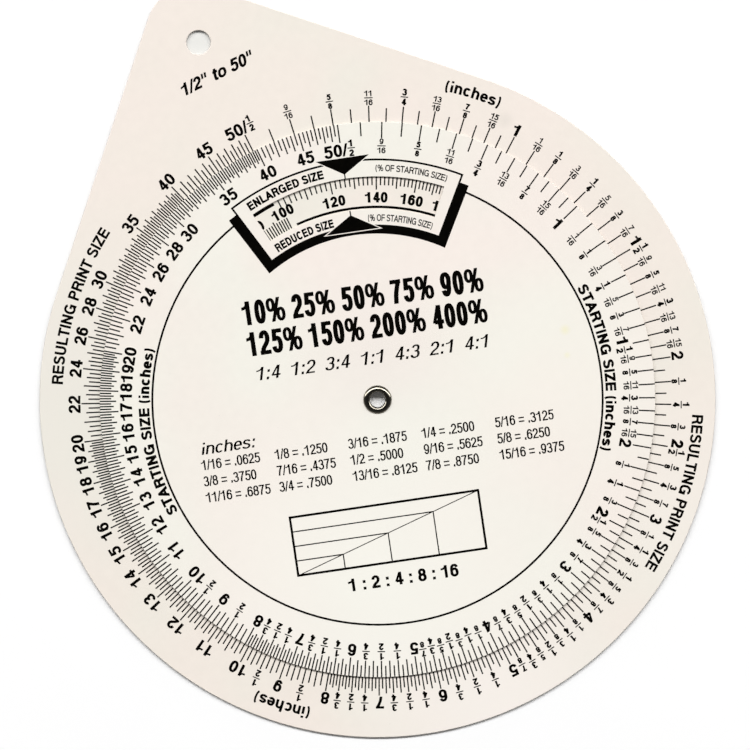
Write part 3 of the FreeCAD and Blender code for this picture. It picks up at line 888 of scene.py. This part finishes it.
# How stacked fractions are set, by denominator: style, length of the bar, gap to the bar
COARSE = (Style(1.68, HEAVY), 1.95, 0.32)
FRACTIONS = {2: COARSE, 4: COARSE, 8: (Style(1.42, HEAVY), 1.95, 0.34),
             16: (Style(1.40, MEDIUM), 2.2, 0.34)}
SMALL_FRACTIONS = (8, 16)
FRACTION_BAR = 0.27             # thickness

# Whole numbers up to which an inch is labelled in so many parts
LABELLED_PARTS = ((2, 16), (5, 8), (8, 4), (10, 2))
LABELLED_WHOLES = tuple(range(1, 21)) + (22, 24, 26, 28, 30, 35, 40, 45)
MIXED = (1.5, 2.5)              # labelled with their whole number in front
LABEL_SLIP = 0.12               # degrees that whole numbers stand before their ticks
SEAM_SLIP = 0.38                # and that 50 and 1/2 together stand before the scale's seam
SEAM_LIFT = 0.25                # mm that this 1/2 stands further out than the others


def stacked(over, under, scale, lift=0.0):
    """Stacked fraction for an inch scale, set as its fineness asks."""
    style, bar_length, gap = FRACTIONS[under]
    bar = scale.small_bar if under in SMALL_FRACTIONS else scale.large_bar
    return Fraction(str(over), str(under), style, bar - scale.foot + lift, bar_length, gap,
                    FRACTION_BAR)


def scale_fractions():
    """(inches, over, under) of every labelled fraction of an inch, in its lowest terms."""
    for whole in range(10):
        parts = next(parts for limit, parts in LABELLED_PARTS if whole < limit)
        for share in range(1, parts):
            inches = whole + share / parts
            if inches > SCALE_START and inches not in MIXED:
                cut = math.gcd(share, parts)
                yield inches, share // cut, parts // cut


def scale_labels(name, body, scale):
    """Lettering of one inch scale: whole numbers in one piece, fractions in another."""
    wholes, fractions = Ink(body), Ink(body)
    for number in LABELLED_WHOLES:
        style = LEAD if number == 1 else WHOLE
        write_arc(wholes, [Letters(str(number), style)], scale.foot,
                  scale_angle(number) - LABEL_SLIP)
    for mixed in MIXED:
        write_arc(wholes, [Letters(str(int(mixed)), LEAD), stacked(1, 2, scale)], scale.foot,
                  scale_angle(mixed))
    write_arc(wholes, [Letters("50/", LAST), stacked(1, 2, scale, SEAM_LIFT)], scale.foot,
              -SEAM_SLIP)
    for inches, over, under in scale_fractions():
        write_arc(fractions, [stacked(over, under, scale)], scale.foot, scale_angle(inches))
    wholes.piece(name + "_numbers")
    fractions.piece(name + "_fractions")


ENLARGE_LABELS = (120, 140, 160, 180, 200, 250, 300, 350, 400, 500, 600, 700, 800, 900)
REDUCE_LABELS = (100, 90, 80, 70, 60, 50, 40, 30, 20)
PERCENT_STYLE = Style(2.65, HEAVY, wide=0.96)
ENLARGE_FOOT, REDUCE_FOOT, TEN_FOOT = 51.9, 53.85, 53.9
ENLARGE_SLIP = 0.4              # degrees that numbers above UNSLIPPED stand before their ticks
UNSLIPPED = 140
REDUCE_SLIP = 0.25
TEN_SLIP = -2.6                 # the 10 stands past its tick, clear of the ring's seam


def percent_labels():
    """Numbers of the percentage ring: one row for each half."""
    ink = Ink("card")
    rows = [(percent, ENLARGE_FOOT, ENLARGE_SLIP if percent > UNSLIPPED else 0.0)
            for percent in ENLARGE_LABELS]
    rows += [(percent, REDUCE_FOOT, REDUCE_SLIP) for percent in REDUCE_LABELS]
    for percent, foot, slip in rows + [(10, TEN_FOOT, TEN_SLIP)]:
        write_arc(ink, [Letters(str(percent), PERCENT_STYLE)], foot,
                  percent_angle(percent) - slip)
    ink.piece("percent_numbers")


def card_words():
    """Words round the card's rim and the range printed on its tab."""
    words_piece("card_words", "card", [
        ArcWords("RESULTING PRINT SIZE", Style(2.85, BOLD, wide=0.93), 82.9, (134, -46)),
        ArcWords("(inches)", Style(2.9, BOLD, wide=0.98), 83.1, (44, 224)),
        RowWords('1/2" to 50"', Style(3.15, BOLD, lean=0.24, wide=0.965), x=0.5, y=94.1)])


def dial_words():
    """Words between the dial's numbers and its ring line."""
    words_piece("dial_words", "dial", [
        ArcWords("STARTING SIZE (inches)", Style(2.68, HEAVY, wide=1.01), 60.1, (90, -90))])


def window_words():
    """Words in the window's frame: what each half of the ring gives, and of what."""
    note = "(% OF STARTING SIZE)"
    words_piece("window_words", "dial", [
        ArcWords("ENLARGED SIZE", Style(2.18, HEAVY, wide=0.87), 59.75, (-15.45,)),
        ArcWords("REDUCED SIZE", Style(2.12, HEAVY, wide=0.745), 46.7, (-15.7,)),
        ArcWords(note, Style(1.60, UPPER_NOTE, wide=0.765), 60.1, (16.8,)),
        ArcWords(note, Style(1.65, LOWER_NOTE, wide=0.665), 47.0, (15.6,))])


def centre_heading():
    """Two heavy lines of plain percentages and a light row of ratios."""
    heavy = Style(6.2, CONDENSED, wide=0.665)
    light = Style(3.3, SLENDER, lean=0.25)
    words_piece("centre_heading", "dial", [
        RowWords("10% 25% 50% 75% 90%", heavy, x=0.0, y=24.25),
        RowWords("125% 150% 200% 400%", heavy, x=0.0, y=16.05),
        RowWords("1:4  1:2  3:4  1:1  4:3  2:1  4:1", light, x=0.0, y=9.5)])


def centre_table():
    """Table of the sixteenths of an inch and their decimals, in three rows of five."""
    columns, first, pitch, top, leading = 5, -48.4, 19.5, -11.73, 4.29
    title = Style(3.0, SLENDER, lean=0.25)
    text = Style(2.5, TABULAR, wide=0.80)
    rows = [RowWords("inches:", title, x=-48.1, y=-7.7, anchor=0.0)]
    for share in range(1, 16):
        row, column = divmod(share - 1, columns)
        cut = math.gcd(share, 16)
        entry = f"{share // cut}/{16 // cut} = {share / 16:.4f}".replace("0.", ".")
        rows.append(RowWords(entry, text, first + pitch * column, top - leading * row, 0.0))
    words_piece("centre_table", "dial", rows)


def centre_figure():
    """Similar rectangles that share a corner and a diagonal, as proportions are drawn."""
    wide, tall, left, foot = 50.0, 15.4, -27.3, -42.8
    frame_rule, inner_rule, diagonal_rule = 0.60, 0.30, 0.22

    def rule(a, b, thick):
        along = (Vector(b) - Vector(a)).normalized()
        side = Vector((-along.y, along.x)) * thick / 2
        ends = (Vector(a) - along * thick / 2, Vector(b) + along * thick / 2)
        return [ends[0] - side, ends[1] - side, ends[1] + side, ends[0] + side]

    rules = [rule((left, foot), (left + wide, foot), frame_rule),
             rule((left, foot), (left, foot + tall), frame_rule),
             rule((left, foot), (left + wide, foot + tall), diagonal_rule)]
    for share, thick in ((0.25, inner_rule), (0.50, inner_rule), (0.75, inner_rule),
                         (1.0, frame_rule)):
        x, y = left + wide * share, foot + tall * share
        rules += [rule((left, y), (x, y), thick), rule((x, foot), (x, y), thick)]
    ink = Ink("dial")
    ink.polygons(rules)
    ink.piece("centre_figure")


def centre_footer():
    """Row of doubling numbers below the figure."""
    words_piece("centre_footer", "dial", [
        RowWords("1 : 2 : 4 : 8 : 16", Style(3.2, BOLD, wide=0.95), x=0.0, y=-48.9)])


# ---- stage

def aim(made, target):
    """Turns a camera or lamp that looks along its own -Z at a point, level in the picture."""
    back = (made.location - Vector(target)).normalized()
    right = PICTURE_RIGHT.to_3d()
    up = back.cross(right).normalized()
    made.matrix_world = Matrix.Translation(made.location) @ Matrix(
        (right, up, back)).transposed().to_4x4()


def camera():
    """Straight above the card, through a long lens, turned as the wheel lies in the picture."""
    data = bpy.data.cameras.new("camera")
    data.sensor_width, data.lens = SENSOR_WIDTH, LENS
    data.clip_start, data.clip_end = CLIP_START, CLIP_END
    distance = PICTURE_WIDTH / 2 / (SENSOR_WIDTH / 2 / LENS)
    made = bpy.data.objects.new("camera", data)
    bpy.context.scene.collection.objects.link(made)
    centre = Vector((*PICTURE_CENTRE, CARD_TOP)) * MM
    made.location = centre + Vector((0, 0, distance * MM))
    aim(made, centre)
    bpy.context.scene.camera = made


def lamp():
    """One long soft strip beyond the picture's top edge, parallel to it and high above."""
    data = bpy.data.lights.new("strip", "AREA")
    data.shape = "RECTANGLE"
    data.size, data.size_y = STRIP_LENGTH, STRIP_HEIGHT
    data.energy = STRIP_POWER
    made = bpy.data.objects.new("strip", data)
    bpy.context.scene.collection.objects.link(made)
    tilt = math.radians(STRIP_TILT)
    made.location = (PICTURE_UP * math.sin(tilt)).to_3d() * STRIP_DISTANCE
    made.location.z = math.cos(tilt) * STRIP_DISTANCE
    aim(made, (0, 0, 0))


def surroundings():
    """Pale walls that darken to a dim ceiling."""
    world = bpy.data.worlds.new("surroundings")
    bpy.context.scene.world = world
    world.use_nodes = True
    tree = world.node_tree
    place = tree.nodes.new("ShaderNodeTexCoord")
    height = tree.nodes.new("ShaderNodeSeparateXYZ")
    ramp = tree.nodes.new("ShaderNodeValToRGB")
    tree.links.new(place.outputs["Generated"], height.inputs[0])
    tree.links.new(height.outputs["Z"], ramp.inputs["Fac"])
    tree.links.new(ramp.outputs["Color"], tree.nodes["Background"].inputs["Color"])
    elements = ramp.color_ramp.elements
    elements.new(0.5)
    for element, (position, level) in zip(elements, WALL_LEVELS):
        element.position = position
        element.color = (level, level, level, 1.0)


def floor():
    """Round white floor on which the card lies flat, dented by the eyelet's rear end and
    a little grey under the hanging hole, as painted shade where the card shades it. It shows
    pure white away from the card, also in the metal, and lights nothing."""
    mesh = bpy.data.meshes.new("floor")
    level, dent = CARD_BOTTOM * MM - FLOOR_DROP, cad_box[0].z
    rings = [(DENT_RADIUS, dent), (DENT_RADIUS * DENT_SLOPE, level), (FLOOR_RADIUS, level)]
    angles = [math.radians(360 / FLOOR_SIDES * i) for i in range(FLOOR_SIDES)]
    points = [(r * math.cos(a), r * math.sin(a), z) for r, z in rings for a in angles]
    faces = [list(range(FLOOR_SIDES))]
    for inner, outer in ((0, FLOOR_SIDES), (FLOOR_SIDES, 2 * FLOOR_SIDES)):
        for i in range(FLOOR_SIDES):
            j = (i + 1) % FLOOR_SIDES
            faces.append([inner + i, outer + i, outer + j, inner + j])
    mesh.from_pydata(points, [], faces)
    made = bpy.data.objects.new("floor", mesh)
    bpy.context.scene.collection.objects.link(made)
    look = Looks("floor", Roughness=0.9, Specular_IOR_Level=0.0)
    grain = look.ramp(look.noise(size=40), (0.3, FLOOR_WHITE - 0.01), (0.7, FLOOR_WHITE))
    # painted shade: a grey patch on the floor under the hanging hole, where the card's shade
    # falls
    colour = look.stain(grain, Stain(0.0, HANG_HOLE_Y, 12.0, srgb(234, 233, 228), 1.0))
    path = look.tree.nodes.new("ShaderNodeLightPath").outputs
    seen = look.add("ShaderNodeMath", inputs={
        0: path["Is Camera Ray"], 1: path["Is Glossy Ray"]}, operation="MAXIMUM")
    seen = look.add("ShaderNodeMath", inputs={
        0: seen, 1: path["Is Transmission Ray"]}, operation="MAXIMUM")
    reach = look.add("ShaderNodeVectorMath", "Value", {0: look.place}, operation="LENGTH")
    lift = look.add("ShaderNodeMapRange", inputs={
        "Value": reach, "From Min": LIFT_START, "From Max": LIFT_END,
        "To Min": FLOOR_LIFT, "To Max": 1.0})
    glow = look.add("ShaderNodeMath", inputs={0: seen, 1: lift}, operation="MULTIPLY")
    look.shader.inputs["Emission Color"].default_value = (1, 1, 1, 1)
    mesh.materials.append(look.finish(Base_Color=colour, Emission_Strength=glow))


# ---- the object

card_sheet_piece()
dial_sheet_piece()
eyelet_piece()
washer_piece()
scale_labels("outer_scale", "card", OUTER)
scale_labels("inner_scale", "dial", INNER)
percent_labels()
card_words()
dial_words()
window_words()
centre_heading()
centre_table()
centre_figure()
centre_footer()

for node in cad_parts.values():
    if not node.hide_render:    # the CAD's printed marks, which no piece replaces
        node.data.materials.clear()
        node.data.materials.append(black_ink())

camera()
lamp()
surroundings()
floor()
bpy.context.scene.view_settings.view_transform = "Standard"
